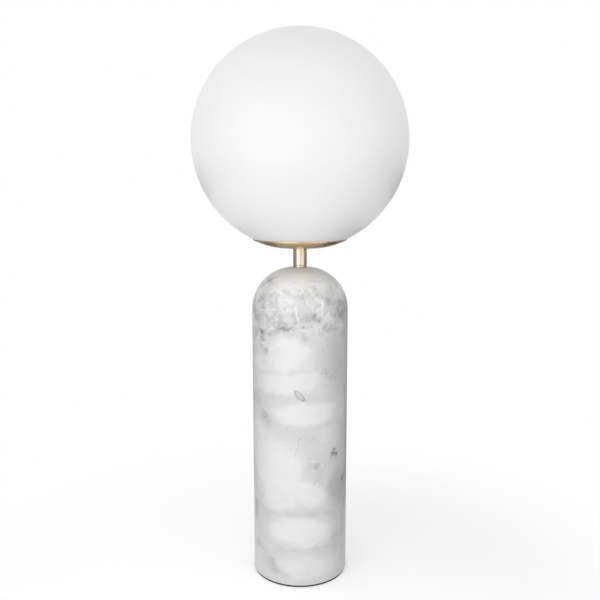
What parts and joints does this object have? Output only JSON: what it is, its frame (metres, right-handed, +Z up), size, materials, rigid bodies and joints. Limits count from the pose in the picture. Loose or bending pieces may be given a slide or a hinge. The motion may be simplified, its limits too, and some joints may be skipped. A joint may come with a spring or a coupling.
{
  "type": "globe table lamp",
  "caption": "Table lamp with an opal glass globe resting in a shallow brass dish on a round-topped marble column; the globe lifts off and the bulb screws out.",
  "frame": {"origin": "centre of the foot pad's underside, on the table", "axes": "+Z up through the column and the globe, -Y towards the front, +Y towards the cord inlet at the back, +X to the right seen from the front"},
  "size_m": [0.2, 0.2, 0.5165],
  "materials": {
    "opal_glass": "satin white opal glass",
    "brushed_brass": "pale brass, finely brushed, lacquered",
    "white_marble": "white marble with grey veins, honed and polished",
    "black_foam": "matt closed-cell foam pad",
    "steel": "zinc-plated steel",
    "spring_steel": "bright rolled spring steel",
    "nickel": "nickel plate",
    "terminal_brass": "plain machined brass",
    "white_plastic": "white moulded plastic",
    "ceramic": "unglazed steatite",
    "black_plastic": "black moulded plastic",
    "black_glass": "fused black glass",
    "frosted_glass": "white-frosted bulb glass",
    "brown_lead": "brown lead insulation",
    "blue_lead": "blue lead insulation"
  },
  "bodies": {
    "stand": {"globe_dish": "brushed_brass", "stem_sleeve": "brushed_brass", "stone_column": "white_marble", "foot_pad": "black_foam", "recess_cover": "steel", "cord_bushing": "black_plastic", "threaded_tube": "steel", "tie_plate": "steel", "lower_spring_washer": "spring_steel", "lower_nut": "steel", "terminal_block": "white_plastic", "block_screw": "steel", "live_sleeve": "terminal_brass", "live_lead_clamp_screw": "nickel", "live_cord_clamp_screw": "nickel", "neutral_sleeve": "terminal_brass", "neutral_lead_clamp_screw": "nickel", "neutral_cord_clamp_screw": "nickel", "live_lead": "brown_lead", "neutral_lead": "blue_lead", "dish_spacer": "steel", "clip_plate": "spring_steel", "spring_clip_1": "spring_steel", "spring_clip_2": "spring_steel", "spring_clip_3": "spring_steel", "clip_rivet_1": "nickel", "clip_rivet_2": "nickel", "clip_rivet_3": "nickel", "upper_spring_washer": "spring_steel", "upper_nut": "steel", "holder_cap": "white_plastic", "holder_grub_screw": "steel", "holder_insert": "ceramic", "live_post": "terminal_brass", "live_post_screw": "nickel", "neutral_post": "terminal_brass", "neutral_post_screw": "nickel", "centre_contact": "terminal_brass", "side_contact": "terminal_brass", "screw_shell": "nickel", "holder_shell": "white_plastic"},
    "globe": {"glass_globe": "opal_glass"},
    "bulb": {"bulb_glass": "frosted_glass", "bulb_cap": "nickel", "bulb_insulator": "black_glass", "bulb_contact": "nickel"}
  },
  "joints": [
    {"name": "globe_lift", "type": "slide", "parent": "stand", "child": "globe", "axis": [0, 0, 1], "range_m": [0, 0.18]},
    {"name": "bulb_unscrew", "type": "slide", "parent": "stand", "child": "bulb", "axis": [0, 0, 1], "range_m": [0, 0.028]}
  ]
}
